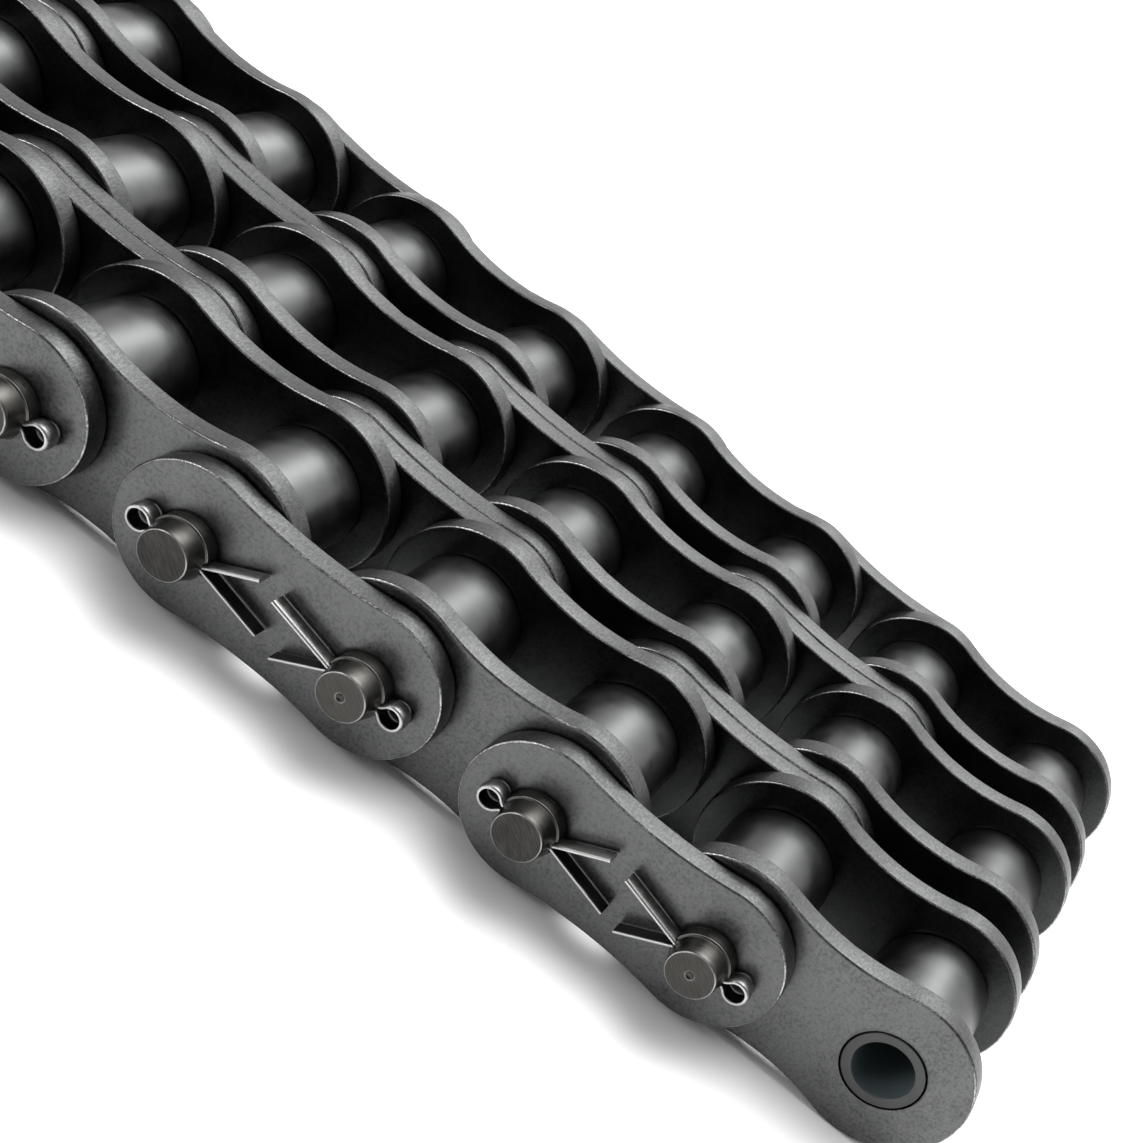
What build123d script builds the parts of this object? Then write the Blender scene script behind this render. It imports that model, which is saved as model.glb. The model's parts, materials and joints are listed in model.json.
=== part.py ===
from build123d import *
import math
import os

# Triple-strand roller chain with cottered pins, 25.4 mm pitch.
# X runs along the chain, Y along the pins (the cottered ends are at -Y), Z is up.
# The origin is on the bush axis at one free end, at the middle of the chain's width.
# All sizes are in millimetres.

# Chain layout
PITCH = 25.4
STRAND_SPACING = 29.29
STRANDS = {"front": -1, "middle": 0, "rear": 1}
ROLLER_LINKS = 5
PIN_LINKS = ROLLER_LINKS - 1

# Plates
PLATE_THICKNESS = 3.2
INNER_LOBE_RADIUS = 11.7
INNER_WAIST = 9.8
OUTER_LOBE_RADIUS = 10.1
OUTER_WAIST = 8.95
PLATE_EDGE_ROUND = 0.25
HOLE_CHAMFER = 0.15

# Side play along the pins
INNER_WIDTH = 16.0
ROLLER_SIDE_PLAY = 0.15
REAR_SIDE_PLAY = 0.15
FRONT_SIDE_PLAY = 0.35
MIDDLE_PLATE_GAP = 0.17

# Pins
PIN_RADIUS = 3.97
PIN_END_RADIUS = 3.2
PIN_LEAD_RADIUS = 3.72
PIN_LEAD_LENGTH = 2.6
PIN_STEP_LENGTH = 0.15
PIN_FRONT_REACH = 4.6
RIVET_REACH = 1.8
RIVET_RADIUS = 4.4
RIVET_RIM = 0.5
RIVET_FACE_RADIUS = 3.7
DIMPLE_RADIUS = 0.6
DIMPLE_DEPTH = 0.25

# Bushes and rollers
BUSH_RADIUS = 5.65
BUSH_BORE_RADIUS = PIN_RADIUS + 0.05
BUSH_OUTER_CHAMFER = 0.3
BUSH_BORE_CHAMFER = 0.25
ROLLER_RADIUS = 7.94
ROLLER_BORE_RADIUS = BUSH_RADIUS + 0.08
ROLLER_OUTER_CHAMFER = 0.5
ROLLER_BORE_CHAMFER = 0.3

# Split cotters: a flattened half-round strip, folded round an eye
COTTER_HOLE_RADIUS = 1.15
COTTER_SETBACK = 1.25
COTTER_STRIP_WIDTH = 2.0
COTTER_STRIP_THICKNESS = 0.55
COTTER_LEG_GAP = 0.03
COTTER_SHORT_LEG = 7.4
COTTER_SHORT_SPLAY = 30.0
COTTER_LONG_LEG = 9.6
COTTER_LONG_SPLAY = 16.0
COTTER_BEND_X = 3.4
COTTER_EYE_START_X = -2.9
COTTER_FLARE_RADIUS = 1.8
COTTER_EYE_RADIUS = 1.3

# Places that follow from the sizes above
INNER_HALF = INNER_WIDTH / 2 + PLATE_THICKNESS
CHAIN_HALF = STRAND_SPACING + INNER_HALF
FRONT_PLATE_Y = -CHAIN_HALF - FRONT_SIDE_PLAY - PLATE_THICKNESS
REAR_PLATE_Y = CHAIN_HALF + REAR_SIDE_PLAY
REAR_FACE_Y = REAR_PLATE_Y + PLATE_THICKNESS
PIN_FRONT_Y = FRONT_PLATE_Y - PIN_FRONT_REACH
PIN_REAR_Y = REAR_FACE_Y + RIVET_REACH
COTTER_Y = FRONT_PLATE_Y - COTTER_SETBACK


def turned(corners):
    """Solid of revolution about the Y axis, from (radius, y) corners."""
    return revolve(make_face(Polyline(*corners, close=True)), Axis.Y)


def tube(radius, bore, half_length, outer_chamfer, bore_chamfer):
    """Tube along Y, centred on the origin, with both ends chamfered inside and out."""
    corners = [
        (bore + bore_chamfer, -half_length),
        (radius - outer_chamfer, -half_length),
        (radius, -half_length + outer_chamfer),
        (radius, half_length - outer_chamfer),
        (radius - outer_chamfer, half_length),
        (bore + bore_chamfer, half_length),
        (bore, half_length - bore_chamfer),
        (bore, -half_length + bore_chamfer),
    ]
    return turned(corners)


def plate_outline(lobe_radius, waist):
    """Figure-eight face in the XZ plane: two round lobes joined by hollow arcs, tangent to both."""
    half = PITCH / 2
    hollow_radius = (half**2 + waist**2 - lobe_radius**2) / (2 * (lobe_radius - waist))
    share = lobe_radius / (lobe_radius + hollow_radius)
    touch_x = half - half * share
    touch_z = (waist + hollow_radius) * share
    tip = half + lobe_radius
    right_lobe = ThreePointArc((touch_x, 0, touch_z), (tip, 0, 0), (touch_x, 0, -touch_z))
    lower_hollow = ThreePointArc((touch_x, 0, -touch_z), (0, 0, -waist), (-touch_x, 0, -touch_z))
    left_lobe = ThreePointArc((-touch_x, 0, -touch_z), (-tip, 0, 0), (-touch_x, 0, touch_z))
    upper_hollow = ThreePointArc((-touch_x, 0, touch_z), (0, 0, waist), (touch_x, 0, touch_z))
    return make_face([right_lobe, lower_hollow, left_lobe, upper_hollow])


def plate(lobe_radius, waist, hole_radius):
    """Plate centred on X = 0, from Y = 0 to its thickness, with a hole at each end."""
    blank = extrude(plate_outline(lobe_radius, waist), PLATE_THICKNESS, dir=(0, 1, 0))
    rims = blank.edges().filter_by(GeomType.CIRCLE)
    blank = fillet(rims, PLATE_EDGE_ROUND)
    drill = Rot(90, 0, 0) * Cylinder(hole_radius, 4 * PLATE_THICKNESS)
    for side in (-1, 1):
        blank -= Pos(side * PITCH / 2, 0, 0) * drill
    circles = blank.edges().filter_by(GeomType.CIRCLE)
    mouths = circles.filter_by(lambda edge: abs(edge.radius - hole_radius) < 1e-4)
    return chamfer(mouths, HOLE_CHAMFER)


def pin():
    """Pin on the Y axis: tapered lead-in with a centre dimple, a cotter hole, and a riveted rear end."""
    corners = [
        (0, PIN_FRONT_Y + DIMPLE_DEPTH),
        (DIMPLE_RADIUS, PIN_FRONT_Y),
        (PIN_END_RADIUS, PIN_FRONT_Y),
        (PIN_LEAD_RADIUS, PIN_FRONT_Y + PIN_LEAD_LENGTH),
        (PIN_RADIUS, PIN_FRONT_Y + PIN_LEAD_LENGTH + PIN_STEP_LENGTH),
        (PIN_RADIUS, REAR_FACE_Y),
        (RIVET_RADIUS, REAR_FACE_Y),
        (RIVET_RADIUS, REAR_FACE_Y + RIVET_RIM),
        (RIVET_FACE_RADIUS, PIN_REAR_Y),
        (0, PIN_REAR_Y),
    ]
    cross_hole = Pos(0, COTTER_Y, 0) * Rot(0, 90, 0) * Cylinder(COTTER_HOLE_RADIUS, 4 * PIN_RADIUS)
    return turned(corners) - cross_hole


def strip_section(side):
    """Half-round section of one cotter leg, in the plane X = COTTER_BEND_X; its flat faces the other leg."""
    half = COTTER_STRIP_WIDTH / 2
    flat_z = side * COTTER_LEG_GAP
    crown_z = side * (COTTER_LEG_GAP + COTTER_STRIP_THICKNESS)
    front = (COTTER_BEND_X, -half, flat_z)
    rear = (COTTER_BEND_X, half, flat_z)
    back = ThreePointArc(front, (COTTER_BEND_X, 0, crown_z), rear)
    return make_face([back, Line(rear, front)])


def cotter_leg(side, length, splay_degrees):
    """One open leg, which leaves the pin at its splay angle, parallel to the plate."""
    splay = math.radians(splay_degrees)
    direction = Vector(math.cos(splay), 0, side * math.sin(splay))
    return extrude(strip_section(side), length, dir=direction)


def cotter():
    """Split cotter through the origin along X, with its eye at -X and its open legs at +X."""
    flare_turn = math.degrees(
        math.acos((COTTER_LEG_GAP + COTTER_FLARE_RADIUS) / (COTTER_FLARE_RADIUS + COTTER_EYE_RADIUS))
    )
    going = Line((COTTER_BEND_X, COTTER_LEG_GAP), (COTTER_EYE_START_X, COTTER_LEG_GAP))
    flare = JernArc(going @ 1, going % 1, COTTER_FLARE_RADIUS, -flare_turn)
    eye = JernArc(flare @ 1, flare % 1, COTTER_EYE_RADIUS, 180 + 2 * flare_turn)
    return_flare = JernArc(eye @ 1, eye % 1, COTTER_FLARE_RADIUS, -flare_turn)
    coming = Line(return_flare @ 1, (COTTER_BEND_X, -COTTER_LEG_GAP))
    path = Plane.XZ * Wire([going, flare, eye, return_flare, coming])
    folded = sweep(strip_section(1), path=path)
    short_leg = cotter_leg(1, COTTER_SHORT_LEG, COTTER_SHORT_SPLAY)
    long_leg = cotter_leg(-1, COTTER_LONG_LEG, COTTER_LONG_SPLAY)
    return folded + short_leg + long_leg


def save(name, solids):
    """Writes one node: its solids together in one STEP file."""
    export_step(Compound(children=solids), f"parts/{name}.step")


def save_roller_links():
    """Inner plates and bushes of the five roller links."""
    inner_plate = plate(INNER_LOBE_RADIUS, INNER_WAIST, BUSH_RADIUS)
    bush = tube(BUSH_RADIUS, BUSH_BORE_RADIUS, INNER_HALF, BUSH_OUTER_CHAMFER, BUSH_BORE_CHAMFER)
    for link in range(ROLLER_LINKS):
        left_x = 2 * link * PITCH
        plates = []
        bushes = []
        for strand in STRANDS.values():
            strand_y = strand * STRAND_SPACING
            for plate_y in (strand_y - INNER_HALF, strand_y + INNER_WIDTH / 2):
                plates.append(Pos(left_x + PITCH / 2, plate_y, 0) * inner_plate)
            for bush_x in (left_x, left_x + PITCH):
                bushes.append(Pos(bush_x, strand_y, 0) * bush)
        save(f"inner_plates_{link + 1}", plates)
        save(f"bushes_{link + 1}", bushes)


def save_pin_links():
    """Outer plates, middle plates, pins and cotters of the four pin links."""
    pin_plate = plate(OUTER_LOBE_RADIUS, OUTER_WAIST, PIN_RADIUS)
    one_pin = pin()
    one_cotter = cotter()
    pair_half = PLATE_THICKNESS + MIDDLE_PLATE_GAP / 2
    for link in range(PIN_LINKS):
        left_x = (2 * link + 1) * PITCH
        middle_x = left_x + PITCH / 2
        middle_plates = []
        for gap_y in (-STRAND_SPACING / 2, STRAND_SPACING / 2):
            for plate_y in (gap_y - pair_half, gap_y + MIDDLE_PLATE_GAP / 2):
                middle_plates.append(Pos(middle_x, plate_y, 0) * pin_plate)
        left_cotter = Pos(left_x, COTTER_Y, 0) * one_cotter
        right_cotter = Pos(left_x + PITCH, COTTER_Y, 0) * Rot(0, 180, 0) * one_cotter
        save(f"outer_plate_front_{link + 1}", [Pos(middle_x, FRONT_PLATE_Y, 0) * pin_plate])
        save(f"outer_plate_rear_{link + 1}", [Pos(middle_x, REAR_PLATE_Y, 0) * pin_plate])
        save(f"middle_plates_{link + 1}", middle_plates)
        save(f"pins_{link + 1}", [Pos(left_x, 0, 0) * one_pin, Pos(left_x + PITCH, 0, 0) * one_pin])
        save(f"cotters_{link + 1}", [left_cotter, right_cotter])


def save_rollers():
    """One free-turning roller on each bush, three to an axis."""
    half_length = INNER_WIDTH / 2 - ROLLER_SIDE_PLAY
    roller = tube(ROLLER_RADIUS, ROLLER_BORE_RADIUS, half_length, ROLLER_OUTER_CHAMFER, ROLLER_BORE_CHAMFER)
    for axis in range(2 * ROLLER_LINKS):
        for strand_name, strand in STRANDS.items():
            place = Pos(axis * PITCH, strand * STRAND_SPACING, 0)
            save(f"roller_{strand_name}_{axis + 1:02d}", [place * roller])


os.makedirs("parts", exist_ok=True)
save_roller_links()
save_pin_links()
save_rollers()
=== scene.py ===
import json
import math

import bmesh
import bpy
import numpy as np
from mathutils import Matrix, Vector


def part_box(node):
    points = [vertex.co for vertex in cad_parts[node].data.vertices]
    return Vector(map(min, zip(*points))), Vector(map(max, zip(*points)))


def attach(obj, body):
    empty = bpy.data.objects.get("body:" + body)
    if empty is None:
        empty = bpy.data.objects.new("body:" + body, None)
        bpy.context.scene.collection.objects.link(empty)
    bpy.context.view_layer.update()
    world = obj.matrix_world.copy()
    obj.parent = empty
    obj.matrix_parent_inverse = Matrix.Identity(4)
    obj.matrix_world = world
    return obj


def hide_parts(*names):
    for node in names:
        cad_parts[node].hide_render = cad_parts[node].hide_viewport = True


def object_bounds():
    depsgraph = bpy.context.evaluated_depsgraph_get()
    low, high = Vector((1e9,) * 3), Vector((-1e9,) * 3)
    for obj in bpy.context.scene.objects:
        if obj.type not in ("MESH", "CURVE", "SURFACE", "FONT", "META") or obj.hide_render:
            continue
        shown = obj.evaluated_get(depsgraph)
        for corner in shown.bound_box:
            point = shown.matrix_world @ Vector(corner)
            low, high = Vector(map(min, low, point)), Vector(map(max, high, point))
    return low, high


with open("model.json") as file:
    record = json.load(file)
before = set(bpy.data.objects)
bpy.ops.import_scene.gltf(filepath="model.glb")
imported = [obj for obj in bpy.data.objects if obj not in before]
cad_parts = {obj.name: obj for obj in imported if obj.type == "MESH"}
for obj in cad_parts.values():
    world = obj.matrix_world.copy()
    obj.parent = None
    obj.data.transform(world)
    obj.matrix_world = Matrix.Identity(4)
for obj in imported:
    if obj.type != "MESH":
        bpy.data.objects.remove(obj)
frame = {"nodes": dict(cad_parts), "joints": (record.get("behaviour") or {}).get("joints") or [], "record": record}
cad_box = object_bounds()

# Looks of a triple-strand cottered roller chain. Metres, with +Y along the pins and the cotters at -Y.
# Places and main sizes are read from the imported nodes. The values below are details of the finish.
MM = 0.001
WELD_DISTANCE = 0.002 * MM
SLIVER_LENGTH = 0.0005 * MM

# Plates: pressed and tumbled, so one face rolls over softly and the other is nearly sharp
INNER_WAIST = 9.8 * MM
OUTER_WAIST = 8.95 * MM
ROLLED_RIM = (0.42 * MM, 0.32 * MM)
SHARP_RIM = (0.28 * MM, 0.24 * MM)
HOLE_RIM = 0.06 * MM
BREAK_TAPER = 0.05 * MM
RIM_FADE = 0.4 * MM
RIM_STEPS = 5
HOLLOW_POINTS = 22
LOBE_POINTS = 124
WAIST_POINTS = 12
DENTS_PER_PLATE = 14
DENT_REACH = (0.45 * MM, 1.1 * MM)
DENT_DEPTH = (0.02 * MM, 0.07 * MM)
FACE_WAVE = 0.008 * MM
FACE_WAVE_SPREAD = 3 * MM

# Turned pieces
TURNED_SEGMENTS = 96
ROUND_STEPS = 5
EDGE_FADE = 0.3 * MM
PIN_CLEARANCE = 0.05 * MM
ROLLER_CLEARANCE = 0.08 * MM
ROLLER_EDGE = 0.45 * MM
BUSH_EDGE = (0.3 * MM, 0.6 * MM)
BORE_EDGE = 0.22 * MM
PIN_FACE_RADIUS = 3.2 * MM
PIN_LEAD_RADIUS = 3.72 * MM
PIN_LEAD_LENGTH = 2.6 * MM
PIN_STEP_LENGTH = 0.15 * MM
PIN_DIMPLE_RADIUS = 0.62 * MM
PIN_DIMPLE_DEPTH = 0.25 * MM
PIN_FAINT_DIMPLE_DEPTH = 0.04 * MM
PIN_GROOVE_DEPTH = 0.04 * MM
PIN_GROOVE_HALF_WIDTH = 0.12 * MM
PIN_GROOVES = (0.35 * MM, 0.75 * MM, 1.15 * MM, 1.5 * MM)
RIVET_HEIGHT = 1.8 * MM

# Cotters
COTTER_HOLE = 1.15 * MM
COTTER_WIDTH = 2.0 * MM
COTTER_THICKNESS = 0.55 * MM
COTTER_CORNER = 0.06 * MM
COTTER_EDGE = 0.2 * MM
COTTER_GAP = 0.03 * MM
COTTER_BEND_X = 3.4 * MM
COTTER_EYE_X = -2.9 * MM
COTTER_FLARE = 1.8 * MM
COTTER_EYE = 1.3 * MM
COTTER_BEND = 0.8 * MM
COTTER_LEGS = (7.4 * MM, 9.6 * MM)
COTTER_SPLAYS = (30.0, 16.0)
COTTER_LEG_SPREAD = (-0.25 * MM, 0.1 * MM)
COTTER_SPLAY_SPREAD = 2.0

X, Y, Z = 0, 1, 2
record = frame["record"]
bodies = record["behaviour"]["bodies"]
body_of = {node: body for body, nodes in bodies.items() for node in nodes}


# ---------------------------------------------------------------- places from the frame


def spans(node, axis):
    """(low, high) of each solid of a node along one axis, joined where the node's triangles overlap."""
    mesh = frame["nodes"][node].data
    places = np.array([v.co[axis] for v in mesh.vertices])
    corners = [places[list(polygon.vertices)] for polygon in mesh.polygons]
    reach = sorted((heights.min(), heights.max()) for heights in corners)
    found = [list(reach[0])]
    for low, high in reach[1:]:
        if low <= found[-1][1] + 1e-6:
            found[-1][1] = max(found[-1][1], high)
        else:
            found.append([low, high])
    return found


def middle(span):
    return (span[0] + span[1]) / 2


hinges = [j for j in frame["joints"] if j["name"].startswith("hinge_")]
axis_x = sorted(j["pos_m"][X] for j in hinges)
pitch = axis_x[1] - axis_x[0]
bore_radius = record["mounts"][0]["dims"]["r_mm"] * MM
pin_radius = bore_radius - PIN_CLEARANCE
bush_low, bush_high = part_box("bushes_1")
bush_radius = (bush_high[Z] - bush_low[Z]) / 2


# ---------------------------------------------------------------- mesh building


class Solids:
    """Vertices, faces and surface values of one piece, gathered solid by solid."""

    VALUES = ("wear", "cut", "tone")

    def __init__(self):
        self.points = []
        self.faces = []
        self.values = {name: [] for name in self.VALUES}
        self.count = 0

    def add(self, shape, place, tone, mirrored=False):
        """Adds a shape, a dict of points, faces, wear and cut, moved by a vector."""
        points = shape["points"] * ((-1, 1, -1) if mirrored else (1, 1, 1)) + np.array(place)
        self.points.append(points)
        self.faces += [tuple(i + self.count for i in face) for face in shape["faces"]]
        self.values["wear"].append(shape["wear"])
        self.values["cut"].append(shape["cut"])
        self.values["tone"].append(np.full(len(points), tone))
        self.count += len(points)

    def piece(self, node, material, slot, crease=60.0):
        """Makes the Blender object that stands for a CAD node, on that node's body."""
        mesh = bpy.data.meshes.new(node + "_shown")
        mesh.from_pydata(np.concatenate(self.points).tolist(), [], self.faces)
        for name, parts in self.values.items():
            attribute = mesh.attributes.new(name, "FLOAT", "POINT")
            attribute.data.foreach_set("value", np.concatenate(parts).astype(np.float32))
        mesh.shade_smooth()
        mesh.set_sharp_from_angle(angle=math.radians(crease))
        mesh.materials.append(material)
        shown = bpy.data.objects.new(mesh.name, mesh)
        bpy.context.scene.collection.objects.link(shown)
        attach(shown, body_of[node])
        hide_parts(node)


def welded(points, faces, wear, cut, cutter=None):
    """A closed shape from loose rings: points joined, faces turned outward, any cutter taken away."""
    mesh = bpy.data.meshes.new("rings")
    mesh.from_pydata(np.asarray(points).tolist(), [], faces)
    for name, values in (("wear", wear), ("cut", cut)):
        attribute = mesh.attributes.new(name, "FLOAT", "POINT")
        attribute.data.foreach_set("value", np.asarray(values, np.float32))
    bm = bmesh.new()
    bm.from_mesh(mesh)
    bmesh.ops.remove_doubles(bm, verts=bm.verts, dist=WELD_DISTANCE)
    bmesh.ops.dissolve_degenerate(bm, edges=bm.edges, dist=SLIVER_LENGTH)
    bmesh.ops.recalc_face_normals(bm, faces=bm.faces)
    bm.to_mesh(mesh)
    bm.free()
    if cutter is not None:
        mesh = drilled(mesh, cutter)
    count = len(mesh.vertices)
    shape = {"faces": [tuple(polygon.vertices) for polygon in mesh.polygons]}
    for name, kept in (("points", "co"), ("normals", "normal")):
        values = np.zeros(count * 3, np.float32)
        mesh.vertices.foreach_get(kept, values)
        shape[name] = values.reshape(-1, 3).astype(float)
    for name in ("wear", "cut"):
        shape[name] = np.zeros(count, np.float32)
        mesh.attributes[name].data.foreach_get("value", shape[name])
    bpy.data.meshes.remove(mesh)
    return shape


def drilled(mesh, cutter):
    """The mesh with the cutter mesh taken away from it."""
    blank = bpy.data.objects.new("blank", mesh)
    tool = bpy.data.objects.new("tool", cutter)
    for thing in (blank, tool):
        bpy.context.scene.collection.objects.link(thing)
    cut = blank.modifiers.new("cut", "BOOLEAN")
    cut.operation = "DIFFERENCE"
    cut.solver = "EXACT"
    cut.object = tool
    graph = bpy.context.evaluated_depsgraph_get()
    made = bpy.data.meshes.new_from_object(blank.evaluated_get(graph), depsgraph=graph)
    for thing in (blank, tool):
        bpy.data.objects.remove(thing)
    bpy.data.meshes.remove(mesh)
    bpy.data.meshes.remove(cutter)
    return made


def strip_faces(first, second, closed=True):
    """Quads between two rows of point numbers."""
    steps = len(first) if closed else len(first) - 1
    pairs = [(i, (i + 1) % len(first)) for i in range(steps)]
    return [(first[i], first[j], second[j], second[i]) for i, j in pairs]


# ---------------------------------------------------------------- plates


def half_outline(lobe, waist):
    """(points, outward normals) round the right half of a figure-eight plate, lower waist to upper."""
    half = pitch / 2
    hollow = (half**2 + waist**2 - lobe**2) / (2 * (lobe - waist))
    share = lobe / (lobe + hollow)
    touch = np.array([half - half * share, (waist + hollow) * share])
    hollow_turn = math.asin(touch[0] / hollow)
    lobe_turn = math.atan2(touch[1], touch[0] - half)
    bends = np.linspace(0, hollow_turn, HOLLOW_POINTS)
    swing = np.linspace(-lobe_turn, lobe_turn, LOBE_POINTS)[1:-1]
    lower_in = np.stack([np.sin(bends), np.cos(bends)], 1)
    lower = np.array([0, -waist - hollow]) + hollow * lower_in
    round_out = np.stack([np.cos(swing), np.sin(swing)], 1)
    lobe_points = np.array([half, 0]) + lobe * round_out
    upper = lower[::-1] * (1, -1)
    upper_in = lower_in[::-1] * (1, -1)
    outline = np.concatenate([lower, lobe_points, upper])
    return outline, np.concatenate([-lower_in, round_out, -upper_in])


def rim_arc(width, height):
    """(inset, depth, wear) down a rounded rim, from the flat face to the side wall."""
    rows = []
    for step in range(RIM_STEPS + 1):
        turn = math.pi / 2 * step / RIM_STEPS
        inset = width * (1 - math.sin(turn))
        depth = height * (1 - math.cos(turn))
        rows.append((inset, depth, math.sin(2 * turn) ** 2.5))
    return rows


def plate_shape(lobe, waist, hole, thickness):
    """A plate centred on X = 0, from Y = 0, its rolled face, to Y = thickness, with a hole at each end."""
    edge, outward = half_outline(lobe, waist)
    count = len(edge)
    centre = np.array([pitch / 2, 0])
    front = rim_arc(*ROLLED_RIM)
    back = rim_arc(*SHARP_RIM)
    # The side wall is sheared straight at first, then breaks away with a slight taper
    wall = [(0.0, thickness * share, 0.0) for share in (0.16, 0.3, 0.45, 0.58)]
    broken = [(BREAK_TAPER * share, thickness * (0.6 + 0.3 * share), 0.0) for share in (0.35, 0.8)]
    back_rows = [(inset + BREAK_TAPER, thickness - depth, worn) for inset, depth, worn in reversed(back)]
    rim_rows = front + wall + broken + back_rows
    heights = np.linspace(1, -1, WAIST_POINTS + 2)[1:-1]
    points = []
    wear = []
    cut = []
    faces = []
    for side in (-1, 1):

        def kept(ring, depth, worn, sheared):
            """Adds a ring of points, and gives their numbers."""
            first = len(points)
            points.extend((side * x, depth, z) for x, z in ring)
            wear.extend([worn] * len(ring))
            cut.extend([sheared] * len(ring))
            return list(range(first, len(points)))

        def closed_ring(inset):
            """The inset outline of this half, closed along the middle of the waist."""
            waist_line = np.stack([np.zeros(WAIST_POINTS), heights * (waist - inset)], 1)
            return np.concatenate([edge - outward * inset, waist_line])

        def round_ring(ring, radius):
            """The ring's points moved straight to a circle round the hole."""
            away = ring - centre
            return centre + away / np.linalg.norm(away, axis=1)[:, None] * radius

        def row(inset, depth, worn, share=1.0):
            """One ring of a flat face; share runs from the hole's rim at 0 to the inset edge at 1."""
            ring = closed_ring(inset)
            if share < 1.0:
                mouth = round_ring(ring, hole + HOLE_RIM)
                ring = mouth + (ring - mouth) * share
            return kept(ring, depth, worn, 0.0)

        def bore(radius, depth, worn):
            """One ring round the hole."""
            return kept(round_ring(closed_ring(0.0), radius), depth, worn, 0.5)

        def face(inset, depth):
            """Rings from the edge of one flat face in to its hole."""
            rings = [row(inset + RIM_FADE * step, depth, 0.12 * (1 - step)) for step in (0, 1)]
            return rings + [row(inset + RIM_FADE, depth, 0.0, share) for share in (0.8, 0.6, 0.4, 0.2, 0.06)]

        front_face = face(front[0][0], 0.0)
        back_face = face(back_rows[-1][0], thickness)
        through = [
            bore(hole + HOLE_RIM, 0.0, 0.45),
            bore(hole + 0.35 * HOLE_RIM, 0.35 * HOLE_RIM, 0.6),
            bore(hole, 1.2 * HOLE_RIM, 0.0),
            bore(hole, thickness - 1.2 * HOLE_RIM, 0.0),
            bore(hole + 0.35 * HOLE_RIM, thickness - 0.35 * HOLE_RIM, 0.6),
            bore(hole + HOLE_RIM, thickness, 0.45),
        ]
        sheet = front_face + through + back_face[::-1]
        for first, second in zip(sheet, sheet[1:]):
            faces += strip_faces(first, second)
        rim = [front_face[0][:count]]
        for inset, depth, worn in rim_rows[1:-1]:
            sheared = 1.0 if worn < 0.95 and depth > ROLLED_RIM[1] * 0.5 else 0.5
            rim.append(kept(edge - outward * inset, depth, worn, sheared))
        rim.append(back_face[0][:count])
        for first, second in zip(rim, rim[1:]):
            faces += strip_faces(first, second, closed=False)
    return welded(points, faces, wear, cut)


def knocked(shape, seed):
    """A copy of a plate with its own faint waves and small handling dents round its rims."""
    chance = np.random.default_rng(seed)
    points = shape["points"]
    waves = chance.uniform(-1, 1, (4, 2))
    phases = chance.uniform(0, 2 * math.pi, 4)
    across = points[:, [X, Z]] / FACE_WAVE_SPREAD
    wave = sum(np.sin(across @ heading + phase) for heading, phase in zip(waves, phases))
    sink = FACE_WAVE * wave / 4 - FACE_WAVE
    rims = np.flatnonzero(shape["wear"] > 0.8)
    for spot in chance.choice(rims, DENTS_PER_PLATE):
        reach = chance.uniform(*DENT_REACH)
        depth = chance.uniform(*DENT_DEPTH)
        away = np.linalg.norm(points - points[spot], axis=1)
        sink = sink - depth * np.exp(-((away / reach) ** 2))
    return {**shape, "points": points + shape["normals"] * sink[:, None]}


def build_plates(material):
    """The inner, outer and middle plates, each on the solid that it stands for."""
    shapes = {}
    for node in sorted(frame["nodes"]):
        if "_plate" not in node:
            continue
        low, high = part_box(node)
        inner = node.startswith("inner")
        lobe = (high[Z] - low[Z]) / 2
        waist = INNER_WAIST if inner else OUTER_WAIST
        hole = bush_radius if inner else pin_radius
        centre_x = (low[X] + high[X]) / 2
        piece = Solids()
        for number, (near, far) in enumerate(spans(node, Y)):
            thickness = far - near
            key = (round(lobe, 6), round(thickness, 6))
            if key not in shapes:
                shapes[key] = plate_shape(lobe, waist, hole, thickness)
            seed = sum(ord(letter) for letter in node) * 7 + number
            tone = np.random.default_rng(seed).uniform()
            piece.add(knocked(shapes[key], seed), (centre_x, near, 0), tone)
        piece.piece(node, material, "plate_steel")


# ---------------------------------------------------------------- turned pieces


def turned_shape(corners, cutter=None):
    """Solid of revolution about Y from (radius, y, rounding, wear) corners, with soft worn edges."""
    rows = []
    count = len(corners)
    for i, (radius, y, rounding, worn) in enumerate(corners):
        here = np.array([radius, y])
        before = np.array(corners[i - 1][:2])
        after = np.array(corners[(i + 1) % count][:2])
        on_axis = radius < 1e-9
        if on_axis or rounding == 0:
            rows.append((radius, y, worn))
            continue
        back = (before - here) / np.linalg.norm(before - here)
        ahead = (after - here) / np.linalg.norm(after - here)
        room = min(np.linalg.norm(before - here), np.linalg.norm(after - here)) * 0.48
        reach = min(rounding, room)
        fade = min(reach + EDGE_FADE, room)
        if fade > reach * 1.05:
            rows.append((*(here + back * fade), 0.0))
        for step in range(ROUND_STEPS + 1):
            t = step / ROUND_STEPS
            spot = here + back * reach * (1 - t) ** 2 + ahead * reach * t**2
            rows.append((*spot, worn * math.sin(math.pi * (0.15 + 0.7 * t))))
        if fade > reach * 1.05:
            rows.append((*(here + ahead * fade), 0.0))
    turns = np.linspace(0, 2 * math.pi, TURNED_SEGMENTS, endpoint=False)
    points = [(r * math.cos(a), y, r * math.sin(a)) for r, y, _ in rows for a in turns]
    wear = [worn for _, _, worn in rows for _ in turns]
    rings = np.arange(len(points)).reshape(-1, TURNED_SEGMENTS).tolist()
    faces = []
    open_ended = corners[0][0] < 1e-9
    for first, second in zip(rings, rings[1:] if open_ended else rings[1:] + rings[:1]):
        faces += strip_faces(first, second)
    return welded(points, faces, wear, [0.0] * len(points), cutter)


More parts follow.
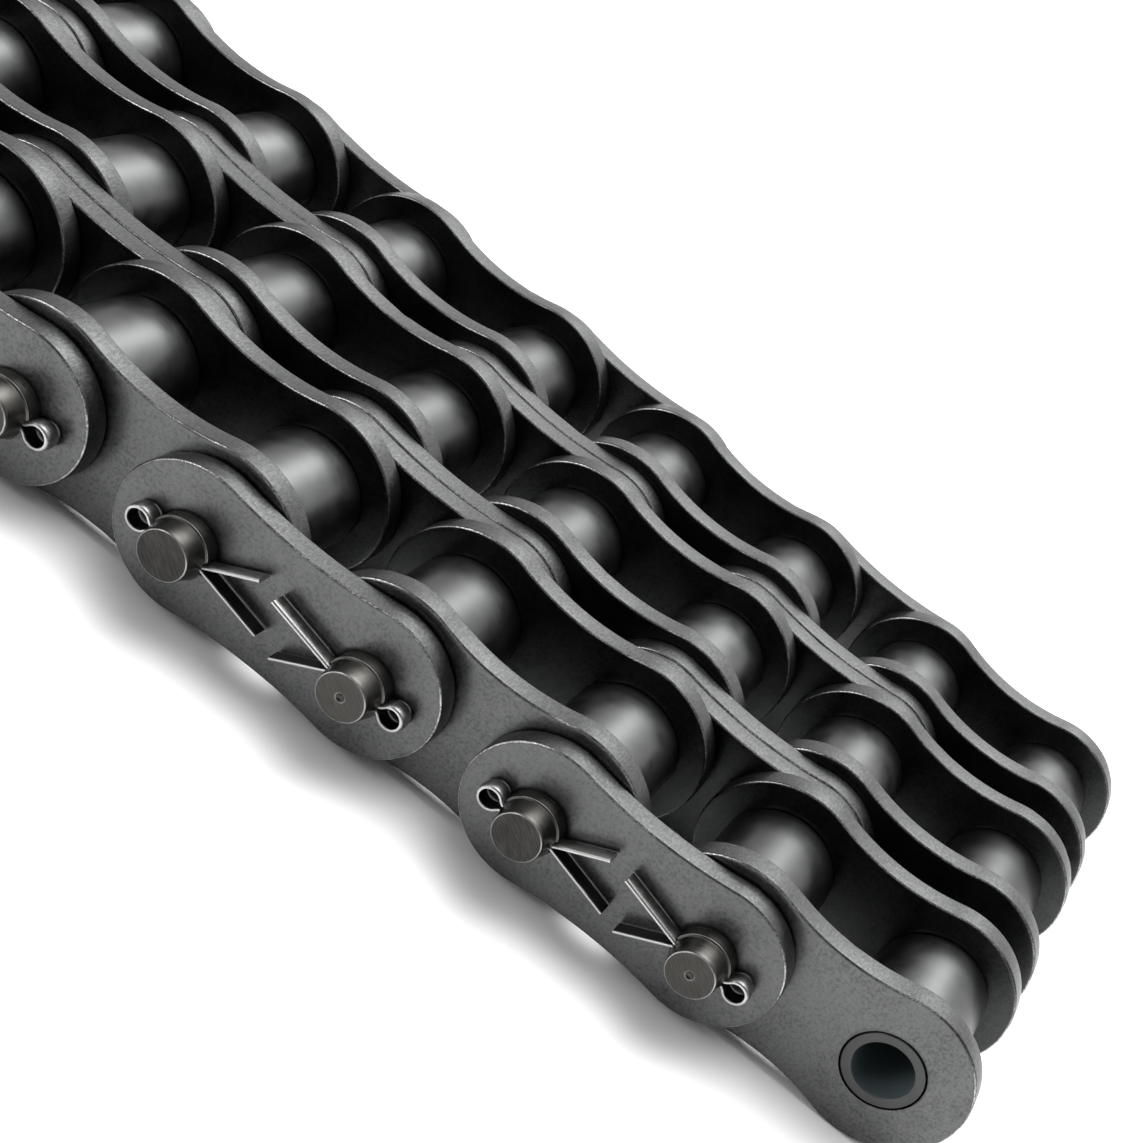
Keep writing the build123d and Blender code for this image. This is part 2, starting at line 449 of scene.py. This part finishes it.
def roller_shape(radius, bore, half_length):
    """Tube along Y about the origin with worn, rounded ends."""
    corners = [
        (bore, -half_length, BORE_EDGE, 0.5),
        (radius, -half_length, ROLLER_EDGE, 1.0),
        (radius, half_length, ROLLER_EDGE, 1.0),
        (bore, half_length, BORE_EDGE, 0.5),
    ]
    return turned_shape(corners)


def bush_shape(radius, bore, half_length):
    """Tube along Y about the origin, its ends bevelled steeply outside. Its bore is marked as cut."""
    inset, depth = BUSH_EDGE
    half = [
        (bore, half_length, BORE_EDGE, 0.2),
        (radius - inset, half_length, 0.08 * MM, 0.3),
        (radius, half_length - depth, 0.1 * MM, 0.0),
    ]
    shape = turned_shape([(r, -y, rounding, worn) for r, y, rounding, worn in half] + half[::-1])
    away = np.hypot(shape["points"][:, X], shape["points"][:, Z])
    return {**shape, "cut": (away < bore + 0.01 * MM).astype(np.float32)}


def cross_drill(radius, length, y):
    """A bar along X at depth y, to cut the cotter hole with."""
    bm = bmesh.new()
    turn = Matrix.Translation((0, y, 0)) @ Matrix.Rotation(math.pi / 2, 4, "Y")
    size = {"radius1": radius, "radius2": radius, "depth": length}
    bmesh.ops.create_cone(bm, cap_ends=True, segments=40, matrix=turn, **size)
    mesh = bpy.data.meshes.new("drill")
    bm.to_mesh(mesh)
    bm.free()
    for name in ("wear", "cut"):
        mesh.attributes.new(name, "FLOAT", "POINT")
    return mesh


def pin_shape(front_y, rear_y, plate_rear_y, plate_front_y, rivet_radius, cotter_y, dimpled):
    """A pin with a tapered, turned front end, a cotter hole and a riveted rear end."""
    dimple = PIN_DIMPLE_DEPTH if dimpled else PIN_FAINT_DIMPLE_DEPTH
    lead_y = front_y + PIN_LEAD_LENGTH
    grooves = []
    for out in PIN_GROOVES:
        y = plate_front_y - out
        grooves += [
            (pin_radius, y - PIN_GROOVE_HALF_WIDTH, 0.03 * MM, 0.5),
            (pin_radius - PIN_GROOVE_DEPTH, y, 0.04 * MM, 0.0),
            (pin_radius, y + PIN_GROOVE_HALF_WIDTH, 0.03 * MM, 0.5),
        ]
    grooves.sort(key=lambda corner: corner[1])
    corners = [
        (0.0, front_y + dimple, 0, 0.0),
        (PIN_DIMPLE_RADIUS * 0.45, front_y + dimple * 0.85, 0.1 * MM, 0.0),
        (PIN_DIMPLE_RADIUS, front_y, 0.1 * MM, 0.9 if dimpled else 0.2),
        (PIN_FACE_RADIUS * 0.6, front_y, 0, 0.0),
        (PIN_FACE_RADIUS, front_y, 0.16 * MM, 1.0),
        (PIN_FACE_RADIUS + 0.14 * MM, front_y + 0.35 * MM, 0.1 * MM, 0.35),
        (PIN_LEAD_RADIUS, lead_y, 0.04 * MM, 0.5),
        (pin_radius, lead_y + PIN_STEP_LENGTH, 0.05 * MM, 1.0),
        *grooves,
        (pin_radius, plate_rear_y, 0, 0.0),
        (rivet_radius, plate_rear_y, 0.1 * MM, 0.3),
        (rivet_radius, plate_rear_y + 0.3 * RIVET_HEIGHT, 0.4 * MM, 0.8),
        (rivet_radius * 0.84, rear_y, 0.5 * MM, 0.9),
        (rivet_radius * 0.3, rear_y, 0.3 * MM, 0.2),
        (0.0, rear_y - 0.12 * MM, 0, 0.0),
    ]
    shape = turned_shape(corners, cutter=cross_drill(COTTER_HOLE, 4 * pin_radius, cotter_y))
    away = np.hypot(shape["points"][:, X], shape["points"][:, Z])
    face = (shape["points"][:, Y] < front_y + 0.3 * MM) & (away < PIN_FACE_RADIUS - 0.1 * MM)
    return {**shape, "cut": face.astype(np.float32)}


def build_turned(roller_material, bush_material):
    """Rollers and bushes."""
    roller_low, roller_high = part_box("roller_front_01")
    roller_radius = (roller_high[Z] - roller_low[Z]) / 2
    roller_half = (roller_high[Y] - roller_low[Y]) / 2
    roller = roller_shape(roller_radius, bush_radius + ROLLER_CLEARANCE, roller_half)
    bush = None
    chance = np.random.default_rng(11)
    for node in sorted(frame["nodes"]):
        piece = Solids()
        if node.startswith("roller_"):
            low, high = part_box(node)
            piece.add(roller, (np.array(low) + np.array(high)) / 2, chance.uniform())
            piece.piece(node, roller_material, "roller_steel")
        elif node.startswith("bushes_"):
            for along in spans(node, Y):
                if bush is None:
                    bush = bush_shape(bush_radius, bore_radius, (along[1] - along[0]) / 2)
                for across in spans(node, X):
                    piece.add(bush, (middle(across), middle(along), 0), chance.uniform())
            piece.piece(node, bush_material, "bush_steel")


def build_pins(material):
    """The pins, each drilled for its cotter. The right-hand ones keep their turning centre."""
    shapes = {}
    for node in sorted(frame["nodes"]):
        if not node.startswith("pins_"):
            continue
        number = node.split("_")[1]
        low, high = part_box(node)
        front_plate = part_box("outer_plate_front_" + number)
        rear_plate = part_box("outer_plate_rear_" + number)
        cotter_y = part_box("cotters_" + number)[0][Y] + COTTER_WIDTH / 2
        rivet_radius = (high[Z] - low[Z]) / 2
        piece = Solids()
        for side, across in enumerate(spans(node, X)):
            if side not in shapes:
                plates = (rear_plate[1][Y], front_plate[0][Y])
                shapes[side] = pin_shape(low[Y], high[Y], *plates, rivet_radius, cotter_y, side == 1)
            tone = np.random.default_rng(int(number) * 2 + side).uniform(0.0, 0.4)
            if side == 0:
                tone += 0.6
            piece.add(shapes[side], (middle(across), 0, 0), tone)
        piece.piece(node, material, "pin_steel", crease=40.0)


# ---------------------------------------------------------------- cotters


def strip_section():
    """(across, out, wear) round the half-round strip, flat side first; out is away from the flat."""
    half = COTTER_WIDTH / 2
    flat = half - 5 * COTTER_CORNER
    rows = [(-flat, 0, 0.0), (flat, 0, 0.0), (half - COTTER_CORNER, 0, 0.5)]
    rows += [(half, COTTER_CORNER, 1.0), (half, COTTER_EDGE, 1.0)]
    for step in range(1, 10):
        turn = math.pi * step / 10
        out = COTTER_EDGE + (COTTER_THICKNESS - COTTER_EDGE) * math.sin(turn) ** 0.7
        rows.append((half * math.cos(turn), out, 0.55))
    rows += [(-half, COTTER_EDGE, 1.0), (-half, COTTER_CORNER, 1.0), (-half + COTTER_CORNER, 0, 0.5)]
    return rows


def strip_path(legs, splays):
    """(x, z, heading) along the folded strip, from the short leg's tip to the long one's."""
    path = []
    place = np.array([0.0, 0.0])
    heading = math.pi + math.radians(splays[0])

    def go(length, steps):
        nonlocal place
        for _ in range(steps):
            path.append((*place, heading))
            place = place + length / steps * np.array([math.cos(heading), math.sin(heading)])

    def turn(radius, angle, steps):
        nonlocal place, heading
        for _ in range(steps):
            path.append((*place, heading))
            chord = 2 * radius * math.sin(abs(angle) / steps / 2)
            heading += angle / steps / 2
            place = place + chord * np.array([math.cos(heading), math.sin(heading)])
            heading += angle / steps / 2

    flare = math.acos((COTTER_GAP + COTTER_FLARE) / (COTTER_FLARE + COTTER_EYE))
    go(legs[0], 10)
    turn(COTTER_BEND, -math.radians(splays[0]), 6)
    corner = place.copy()
    go(COTTER_BEND_X - COTTER_EYE_X, 5)
    turn(COTTER_FLARE, -flare, 6)
    turn(COTTER_EYE, math.pi + 2 * flare, 28)
    turn(COTTER_FLARE, -flare, 6)
    go(COTTER_BEND_X - COTTER_EYE_X, 5)
    turn(COTTER_BEND, -math.radians(splays[1]), 6)
    go(legs[1], 12)
    path.append((*place, heading))
    shift = np.array([COTTER_BEND_X, COTTER_GAP]) - corner
    return [(x + shift[0], z + shift[1], turned_to) for x, z, turned_to in path]


def cotter_shape(seed):
    """A split cotter along X through the origin, its eye at -X, with its own small differences of bend."""
    chance = np.random.default_rng(seed)
    legs = [length + chance.uniform(*COTTER_LEG_SPREAD) for length in COTTER_LEGS]
    splays = [angle + chance.uniform(-COTTER_SPLAY_SPREAD, COTTER_SPLAY_SPREAD) for angle in COTTER_SPLAYS]
    section = strip_section()
    points = []
    wear = []
    rings = []
    for x, z, heading in strip_path(legs, splays):
        rings.append(list(range(len(points), len(points) + len(section))))
        for side, out, worn in section:
            points.append((x + math.sin(heading) * out, side, z - math.cos(heading) * out))
            wear.append(worn)
    faces = []
    for first, second in zip(rings, rings[1:]):
        faces += strip_faces(first, second)
    faces += [tuple(rings[0]), tuple(reversed(rings[-1]))]
    return welded(points, faces, wear, [0.0] * len(points))


def build_cotters(material):
    """The cotters: eyes outward, legs towards the middle of each pin link."""
    for node in sorted(frame["nodes"]):
        if not node.startswith("cotters_"):
            continue
        number = int(node.split("_")[1])
        cotter_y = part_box(node)[0][Y] + COTTER_WIDTH / 2
        piece = Solids()
        for side, across in enumerate(spans("pins_" + str(number), X)):
            shape = cotter_shape(number * 2 + side)
            tone = np.random.default_rng(number * 5 + side).uniform()
            piece.add(shape, (middle(across), cotter_y, 0), tone, mirrored=side == 1)
        piece.piece(node, material, "cotter_steel", crease=45.0)


# ---------------------------------------------------------------- materials

NOISE_ROUGHNESS = 0.55
OIL_ROUGHNESS = 0.18


class Paint:
    """A metal material being built, with short helpers for its nodes.

    Colours are levels of grey under a tint, from 0, black, to 1. The finish is layered by mixing one level
    over another, where a noise rises from one threshold to the next.
    """

    def __init__(self, name):
        self.material = bpy.data.materials.new(name)
        self.material.use_nodes = True
        self.tree = self.material.node_tree
        self.shader = self.tree.nodes["Principled BSDF"]
        self.place = self.node("ShaderNodeTexCoord").outputs["Object"]
        self.shader.inputs["Metallic"].default_value = 1.0

    def node(self, kind, inputs=None, **settings):
        """A new node with its settings made and its inputs fed."""
        made = self.tree.nodes.new(kind)
        for key, value in settings.items():
            setattr(made, key, value)
        for key, value in (inputs or {}).items():
            self.feed(made.inputs[key], value)
        return made

    def feed(self, socket, value):
        """Links a node's output to the socket, or sets a plain value on it."""
        if isinstance(value, bpy.types.NodeSocket):
            self.tree.links.new(value, socket)
        else:
            socket.default_value = value

    def across(self):
        """Distance from the middle of the chain's width."""
        along = self.node("ShaderNodeSeparateXYZ", {"Vector": self.place}).outputs["Y"]
        return self.node("ShaderNodeMath", {0: along}, operation="ABSOLUTE").outputs["Value"]

    def value(self, name):
        """A surface value kept on the mesh."""
        return self.node("ShaderNodeAttribute", attribute_name=name).outputs["Fac"]

    def grain(self, size, detail=3.0, stretch=(1, 1, 1), turn=(0, 0, 0)):
        """Noise with features of about size metres, drawn out by stretch after a turn in degrees."""
        scale = tuple(1 / (size * s) for s in stretch)
        angles = tuple(math.radians(a) for a in turn)
        turned = self.node("ShaderNodeMapping", {"Vector": self.place, "Rotation": angles})
        place = self.node("ShaderNodeMapping", {"Vector": turned.outputs["Vector"], "Scale": scale})
        place = place.outputs["Vector"]
        inputs = {"Vector": place, "Scale": 1.0, "Detail": detail, "Roughness": NOISE_ROUGHNESS}
        return self.node("ShaderNodeTexNoise", inputs).outputs["Fac"]

    def rise(self, value, low, high, out_low=0.0, out_high=1.0):
        """The value mapped smoothly from low..high to out_low..out_high."""
        inputs = {"Value": value, "From Min": low, "From Max": high, "To Min": out_low, "To Max": out_high}
        made = self.node("ShaderNodeMapRange", inputs, interpolation_type="SMOOTHSTEP")
        return made.outputs["Result"]

    def maths(self, operation, first, second):
        """The result of one sum, such as ADD or MULTIPLY."""
        made = self.node("ShaderNodeMath", operation=operation)
        self.feed(made.inputs[0], first)
        self.feed(made.inputs[1], second)
        return made.outputs["Value"]

    def mix(self, share, first, second):
        """Colour first at share 0, second at share 1."""
        made = self.node("ShaderNodeMix", data_type="RGBA")
        self.feed(made.inputs["Factor"], share)
        self.feed(made.inputs[6], first)
        self.feed(made.inputs[7], second)
        return made.outputs[2]

    def bump(self, height, distance, normal=None):
        """Height in 0..1 as a relief of distance metres."""
        inputs = {"Height": height, "Distance": distance, "Strength": 1.0}
        if normal is not None:
            inputs["Normal"] = normal
        return self.node("ShaderNodeBump", inputs).outputs["Normal"]

    def scratches(self, size, turns, amount):
        """Sparse thin lines, 1 on a line, in several directions."""
        lines = None
        for turn in turns:
            streak = self.grain(size, 2.0, (40, 1, 1), turn)
            line = self.rise(streak, 1 - amount, 1 - amount + 0.05)
            lines = line if lines is None else self.maths("MAXIMUM", lines, line)
        return lines

    def done(self, colour, roughness, normal, coat):
        """Plugs the finish into the shader, under a thin film of oil, and gives the material."""
        self.feed(self.shader.inputs["Base Color"], colour)
        self.feed(self.shader.inputs["Roughness"], roughness)
        self.feed(self.shader.inputs["Normal"], normal)
        self.shader.inputs["Coat Weight"].default_value = coat
        self.shader.inputs["Coat Roughness"].default_value = OIL_ROUGHNESS
        return self.material


def grey(level, tint=(1.0, 1.0, 1.0)):
    return (level * tint[0], level * tint[1], level * tint[2], 1.0)


COOL = (0.97, 1.0, 0.98)
OLIVE = (1.03, 1.0, 0.92)
# Greenish tint of the painted shade on plate faces inside the chain
INNER_SHADE_TINT = (0.85, 1.0, 0.95)
BORE_GREY = (0.07, 0.09, 0.096, 1.0)
ROLLER_GREYS = (0.075, 0.096)
BUSH_GREYS = (0.055, 0.07)
PIN_GREYS = (0.055, 0.085)


def plate_material(outside):
    """Blackened, oiled plate: mottled satin faces, pitted sheared edges, and rims rubbed bright in places.

    Faces nearer the middle of the chain than outside are painted darker and greener, as painted shade between the
    plates.
    """
    paint = Paint("plate_steel_finish")
    wear = paint.value("wear")
    cut = paint.value("cut")
    tone = paint.value("tone")
    clouds = paint.grain(6 * MM, 5.0)
    mottle = paint.grain(1.3 * MM, 4.0)
    speckle = paint.grain(0.45 * MM, 3.0)
    fine = paint.grain(0.2 * MM, 2.0)
    pits = paint.grain(0.28 * MM, 3.0, (1, 2.5, 1))
    marks = paint.scratches(0.09 * MM, ((0, 20, 0), (0, -35, 0), (0, 75, 0)), 0.25)
    face = paint.mix(paint.rise(clouds, 0.3, 0.7), grey(0.065, COOL), grey(0.1, COOL))
    face = paint.mix(paint.rise(mottle, 0.35, 0.75, 0.0, 0.6), face, grey(0.12, COOL))
    face = paint.mix(paint.rise(speckle, 0.35, 0.65, 0.0, 0.5), face, grey(0.13, COOL))
    face = paint.mix(paint.rise(speckle, 0.5, 0.32, 0.0, 0.45), face, grey(0.05, COOL))
    face = paint.mix(paint.rise(fine, 0.55, 0.72, 0.0, 0.5), face, grey(0.035, COOL))
    face = paint.mix(paint.maths("MULTIPLY", tone, 0.25), face, grey(0.07, COOL))
    face = paint.mix(paint.maths("MULTIPLY", marks, 0.3), face, grey(0.16))
    # Painted shade: every face nearer the middle than the outside faces is darkened, for the shade between the
    # plates
    outer = paint.rise(paint.across(), outside - 0.3 * MM, outside)
    face = paint.mix(outer, paint.mix(0.62, face, grey(0.012, INNER_SHADE_TINT)), face)
    edge = paint.mix(paint.rise(pits, 0.3, 0.7), grey(0.044, COOL), grey(0.07, COOL))
    edge = paint.mix(paint.rise(fine, 0.6, 0.72, 0.0, 0.6), edge, grey(0.15))
    colour = paint.mix(cut, face, edge)
    line = paint.maths("MULTIPLY", wear, paint.rise(speckle, 0.3, 0.65, 0.6, 1.2))
    line = paint.rise(line, 0.35, 0.85)
    colour = paint.mix(line, colour, grey(0.14))
    patches = paint.rise(clouds, 0.35, 0.65, 0.5, 1.1)
    spots = paint.maths("MULTIPLY", patches, paint.rise(fine, 0.35, 0.62, 0.4, 1.2))
    spots = paint.rise(paint.maths("MULTIPLY", wear, spots), 0.45, 0.8)
    colour = paint.mix(spots, colour, grey(0.4))
    rough = paint.rise(clouds, 0.3, 0.7, 0.3, 0.38)
    rough = paint.maths("ADD", rough, paint.rise(speckle, 0.3, 0.7, -0.03, 0.06))
    rough = paint.maths("ADD", rough, paint.maths("MULTIPLY", cut, 0.06))
    rough = paint.maths("SUBTRACT", rough, paint.maths("MULTIPLY", line, 0.08))
    normal = paint.bump(clouds, 0.015 * MM)
    normal = paint.bump(mottle, 0.01 * MM, normal)
    normal = paint.bump(speckle, 0.006 * MM, normal)
    normal = paint.bump(fine, 0.003 * MM, normal)
    normal = paint.bump(paint.maths("MULTIPLY", pits, cut), 0.03 * MM, normal)
    normal = paint.bump(paint.maths("MULTIPLY", marks, -1.0), 0.006 * MM, normal)
    return paint.done(colour, rough, normal, coat=0.06)


def turned_material(name, levels, tint, rough_levels, ring_depth, worn_level, bore_colour=None):
    """Turned steel: faint rings round the Y axis, a soft film of oil, and edges rubbed bright.

    Marked faces take the bore colour, a dull film, where there is one, and else are brushed and dark.
    """
    dark, light = levels
    paint = Paint(name)
    wear = paint.value("wear")
    tone = paint.value("tone")
    rings = paint.grain(0.12 * MM, 3.0, (60, 1, 60))
    broad = paint.grain(0.7 * MM, 3.0, (20, 1, 20))
    clouds = paint.grain(3.5 * MM, 4.0)
    fine = paint.grain(0.18 * MM, 3.0)
    colour = paint.mix(paint.rise(clouds, 0.3, 0.7), grey(dark, tint), grey(light, tint))
    colour = paint.mix(paint.rise(rings, 0.45, 0.8, 0.0, 0.4), colour, grey(light * 1.2, tint))
    colour = paint.mix(paint.maths("MULTIPLY", tone, 0.75), colour, grey(dark * 0.8, tint))
    colour = paint.mix(paint.rise(fine, 0.6, 0.75, 0.0, 0.25), colour, grey(dark * 0.6, tint))
    worn = paint.maths("MULTIPLY", wear, paint.rise(fine, 0.2, 0.65, 0.6, 1.15))
    worn = paint.rise(worn, 0.4, 0.95)
    colour = paint.mix(worn, colour, grey(worn_level))
    marked = paint.value("cut")
    if bore_colour is not None:
        colour = paint.mix(marked, colour, bore_colour)
        paint.feed(paint.shader.inputs["Metallic"], paint.maths("SUBTRACT", 1.0, marked))
    else:
        brushed = paint.rise(paint.grain(0.16 * MM, 3.0, (1, 1, 14), (0, 50, 0)), 0.35, 0.7)
        film = paint.mix(brushed, grey(0.014, tint), grey(0.045, tint))
        film = paint.mix(paint.rise(clouds, 0.35, 0.7, 0.0, 0.5), film, grey(0.012, tint))
        filmed = paint.maths("MULTIPLY", marked, paint.rise(tone, 0.0, 1.0, 0.5, 0.95))
        colour = paint.mix(filmed, colour, film)
    rough = paint.rise(clouds, 0.3, 0.7, *rough_levels)
    rough = paint.maths("ADD", rough, paint.rise(rings, 0.3, 0.7, -0.04, 0.05))
    normal = paint.bump(rings, ring_depth)
    normal = paint.bump(broad, ring_depth * 1.2, normal)
    normal = paint.bump(fine, ring_depth * 0.5, normal)
    return paint.done(colour, rough, normal, coat=0.06)


def cotter_material():
    """Drawn wire, rolled half-round: bright along its edges, with painted shade darkening its flats."""
    paint = Paint("cotter_steel_finish")
    wear = paint.value("wear")
    drawn = paint.grain(0.07 * MM, 3.0, (12, 1, 12))
    clouds = paint.grain(1.2 * MM, 4.0)
    fine = paint.grain(0.12 * MM, 3.0)
    colour = paint.mix(paint.rise(clouds, 0.3, 0.7), grey(0.16, OLIVE), grey(0.23))
    colour = paint.mix(paint.rise(drawn, 0.5, 0.75, 0.0, 0.5), colour, grey(0.32))
    # Painted shade: where the wear value is low, on the flats, the colour is darkened for the shade inside the
    # folded strip and under the legs
    colour = paint.mix(paint.rise(wear, 0.0, 0.35), grey(0.06, COOL), colour)
    worn = paint.maths("MULTIPLY", wear, paint.rise(fine, 0.2, 0.6, 0.75, 1.1))
    worn = paint.rise(worn, 0.45, 0.85)
    colour = paint.mix(worn, colour, grey(0.42))
    rough = paint.rise(clouds, 0.3, 0.7, 0.32, 0.42)
    normal = paint.bump(drawn, 0.006 * MM)
    normal = paint.bump(fine, 0.003 * MM, normal)
    return paint.done(colour, rough, normal, coat=0.1)


# ---------------------------------------------------------------- stage, light and camera

FLOOR_HALF = 1.5
FLOOR_LEVEL = 0.95
# Each lamp is the direction it stands in, how sharply it falls away round it, and its level
LAMPS = (
    ((-0.035, 0.75, 0.66), 40.0, 6.2),
    ((0.0, 0.32, 0.947), 14.0, 12.0),
    ((-0.73, -0.5, 0.466), 60.0, 9.0),
)
REAR_FROM = (0.35, 0.94, 0.0)
REAR_LEVEL = 1.75
REAR_FADE = (0.0, 0.9)
SURROUND_LEVEL = 0.25
# Turn, drop and roll are degrees, the lens is millimetres, and the shift is shares of the picture's width
CAMERA_PLACE = (0.19856, -0.21126, 0.13935)
CAMERA_TURN = -3.69
CAMERA_DROP = 26.86
CAMERA_ROLL = 40.94
CAMERA_LENS = 56.78
CAMERA_SHIFT = (-0.3893, 0.0914)
SENSOR = 36.0
SHIFT_REACH = 20.0 * MM


def build_floor():
    """A plain, pale floor that the chain rests on. It sinks with the lowest pin axis, whatever the pose."""
    z = cad_box[0][Z]
    corners = [(x * FLOOR_HALF, y * FLOOR_HALF, z) for x, y in ((-1, -1), (1, -1), (1, 1), (-1, 1))]
    mesh = bpy.data.meshes.new("floor")
    mesh.from_pydata(corners, [], [(0, 1, 2, 3)])
    material = bpy.data.materials.new("floor_paper")
    material.use_nodes = True
    shader = material.node_tree.nodes["Principled BSDF"]
    shader.inputs["Base Color"].default_value = grey(FLOOR_LEVEL)
    shader.inputs["Roughness"].default_value = 0.9
    shader.inputs["Specular IOR Level"].default_value = 0.1
    mesh.materials.append(material)
    floor = bpy.data.objects.new("floor", mesh)
    bpy.context.scene.collection.objects.link(floor)
    lowest = floor.driver_add("location", Z)
    lowest.driver.type = "MIN"
    for mark in link_marks():
        height = lowest.driver.variables.new()
        height.type = "TRANSFORMS"
        height.targets[0].id = mark
        height.targets[0].transform_type = "LOC_Z"


def mark_at(place):
    """An empty, which no render shows, for a driver to read its place from."""
    mark = bpy.data.objects.new("mark", None)
    mark.location = place
    bpy.context.scene.collection.objects.link(mark)
    return mark


def link_marks():
    """Marks on the axes at both ends of every link, riding on it."""
    marks = []
    for node in sorted(frame["nodes"]):
        if node.startswith(("inner_plates", "outer_plate_front")):
            low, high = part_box(node)
            for end in (-0.5, 0.5):
                mark = mark_at(((low[X] + high[X]) / 2 + end * pitch, 0, 0))
                marks.append(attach(mark, body_of[node]))
    return marks


def build_light():
    """Soft studio light: a dim surround, bright all across the back, with three broad lamps.

    One lamp is high behind the chain, one nearly overhead, and one low at the front left.
    """
    world = bpy.data.worlds.new("studio")
    bpy.context.scene.world = world
    world.use_nodes = True
    tree = world.node_tree
    background = tree.nodes["Background"]
    background.inputs["Color"].default_value = (1, 1, 1, 1)

    def step(kind, first, second, **settings):
        made = tree.nodes.new(kind)
        for key, value in settings.items():
            setattr(made, key, value)
        for socket, value in zip(made.inputs, (first, second)):
            if isinstance(value, bpy.types.NodeSocket):
                tree.links.new(value, socket)
            else:
                socket.default_value = value
        return made

    ray = tree.nodes.new("ShaderNodeTexCoord").outputs["Generated"]
    across = step("ShaderNodeVectorMath", ray, REAR_FROM, operation="DOT_PRODUCT").outputs["Value"]
    rear = step("ShaderNodeMapRange", across, REAR_FADE[0], interpolation_type="SMOOTHSTEP")
    rear.inputs["From Max"].default_value = REAR_FADE[1]
    rear.inputs["To Min"].default_value = SURROUND_LEVEL
    rear.inputs["To Max"].default_value = REAR_LEVEL
    level = rear.outputs["Result"]
    for direction, fall, strength in LAMPS:
        facing = step("ShaderNodeVectorMath", ray, direction, operation="DOT_PRODUCT").outputs["Value"]
        facing = step("ShaderNodeMath", facing, 0.0, operation="MAXIMUM").outputs["Value"]
        lamp = step("ShaderNodeMath", facing, fall, operation="POWER").outputs["Value"]
        lamp = step("ShaderNodeMath", lamp, strength, operation="MULTIPLY").outputs["Value"]
        level = step("ShaderNodeMath", level, lamp, operation="ADD").outputs["Value"]
    seen = tree.nodes.new("ShaderNodeLightPath").outputs["Is Camera Ray"]
    level = step("ShaderNodeMath", level, seen, operation="MAXIMUM").outputs["Value"]
    tree.links.new(level, background.inputs["Strength"])


def build_camera():
    """The camera, at the photograph's angle.

    Its lens has its whole shift while it stands at its own place, and none once it is SHIFT_REACH away, so
    that the chain is in the middle of a view from anywhere else.
    """
    data = bpy.data.cameras.new("camera")
    data.lens = CAMERA_LENS
    data.sensor_width = SENSOR
    data.clip_start = 0.01
    data.clip_end = 10.0
    camera = bpy.data.objects.new("camera", data)
    turn = Matrix.Rotation(math.radians(CAMERA_TURN), 4, "Z")
    drop = Matrix.Rotation(math.radians(90 - CAMERA_DROP), 4, "X")
    roll = Matrix.Rotation(math.radians(CAMERA_ROLL), 4, "Z")
    camera.matrix_world = Matrix.Translation(CAMERA_PLACE) @ turn @ drop @ roll
    bpy.context.scene.collection.objects.link(camera)
    bpy.context.scene.camera = camera
    home = mark_at(CAMERA_PLACE)
    for setting, amount in zip(("shift_x", "shift_y"), CAMERA_SHIFT):
        shift = data.driver_add(setting)
        away = shift.driver.variables.new()
        away.type = "LOC_DIFF"
        away.targets[0].id = camera
        away.targets[1].id = home
        shift.driver.type = "SUM"
        shift.modifiers.remove(shift.modifiers[0])
        shift.keyframe_points.add(2)
        for key, spot in zip(shift.keyframe_points, ((0.0, amount), (SHIFT_REACH, 0.0))):
            key.co = spot
            key.interpolation = "LINEAR"
        shift.update()


# ---------------------------------------------------------------- the scene

roller_steel = turned_material("roller_steel_finish", ROLLER_GREYS, COOL, (0.32, 0.4), 0.003 * MM, 0.2)
bush_steel = turned_material(
    "bush_steel_finish", BUSH_GREYS, COOL, (0.32, 0.4), 0.003 * MM, 0.2, bore_colour=BORE_GREY
)
pin_steel = turned_material("pin_steel_finish", PIN_GREYS, OLIVE, (0.28, 0.38), 0.006 * MM, 0.3)
build_plates(plate_material(-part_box("inner_plates_1")[0][Y]))
build_turned(roller_steel, bush_steel)
build_pins(pin_steel)
build_cotters(cotter_material())
build_floor()
build_light()
build_camera()
bpy.context.scene.view_settings.view_transform = "Standard"
